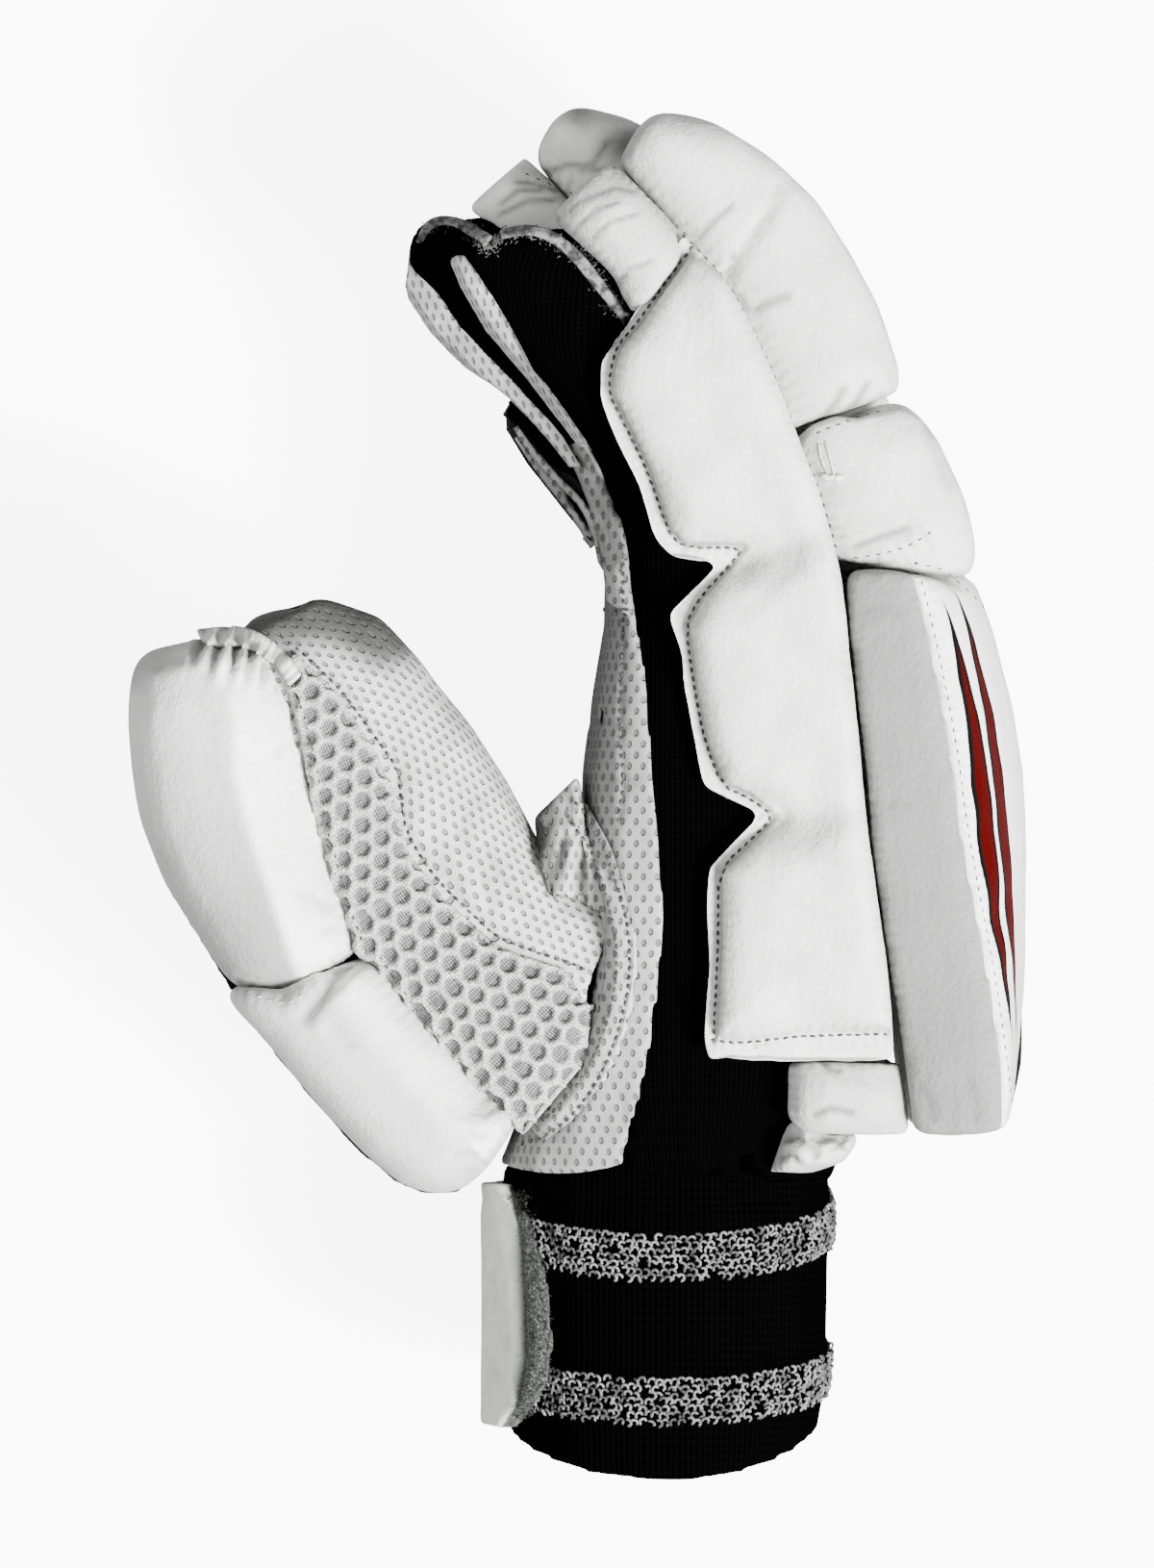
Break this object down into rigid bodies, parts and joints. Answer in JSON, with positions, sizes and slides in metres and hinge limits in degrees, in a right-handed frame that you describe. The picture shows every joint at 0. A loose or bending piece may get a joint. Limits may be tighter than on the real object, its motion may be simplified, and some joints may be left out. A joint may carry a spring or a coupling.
{
  "type": "cricket batting glove",
  "caption": "Padded right-hand cricket batting glove with foam rolls over fingers, thumb and back, perforated palm, black knit hand and elastic wrist cuff.",
  "frame": {"origin": "on the surface that the glove lies on, under the centre of its bounding box", "axes": "+X towards the back of the hand, +Y from the wrist to the fingertips, +Z from the little finger up to the index finger and thumb"},
  "size_m": [0.189, 0.2856, 0.1147],
  "materials": {
    "white_leather": "fine grained, satin, off-white",
    "perforated_leather": "soft, matte, with rows of small perforations",
    "black_knit": "black stretch knit, matte",
    "spacer_mesh": "white spacer mesh with oval holes over a fine net",
    "elastic_cuff": "black elastic knit with two grey looped bands",
    "strap_tape": "pale strap with a fuzzy hook-and-loop edge",
    "black_backing": "thin black backing sheet"
  },
  "bodies": {
    "root": {"wrist_cuff": "elastic_cuff", "hand_shell": "black_knit", "finger_stall_index": "black_knit", "finger_stall_middle": "black_knit", "finger_stall_ring": "black_knit", "finger_stall_little": "black_knit", "thumb_stall": "perforated_leather", "side_bar_index": "white_leather", "side_bar_little": "white_leather", "tip_side_index": "white_leather", "tip_side_middle": "white_leather", "knuckle_roll_index": "white_leather", "knuckle_roll_middle": "white_leather", "knuckle_roll_ring": "white_leather", "knuckle_roll_little": "white_leather", "tip_roll_index": "white_leather", "tip_roll_middle": "white_leather", "tip_roll_ring": "white_leather", "tip_roll_little": "white_leather", "finger_strip_index": "perforated_leather", "finger_strip_middle": "perforated_leather", "finger_strip_ring": "perforated_leather", "finger_strip_little": "perforated_leather", "palm_leather": "perforated_leather", "back_side_index": "white_leather", "back_side_little": "white_leather", "back_top": "white_leather", "back_backing": "black_backing", "wrist_pad_index": "white_leather", "wrist_pad_little": "white_leather", "wrist_flare": "white_leather", "thumb_guard_upper": "white_leather", "thumb_guard_lower": "white_leather", "thumb_mesh": "spacer_mesh", "thumb_web": "perforated_leather", "thumb_backing": "black_backing", "palm_binding": "perforated_leather", "wrist_strap": "strap_tape"}
  },
  "joints": []
}
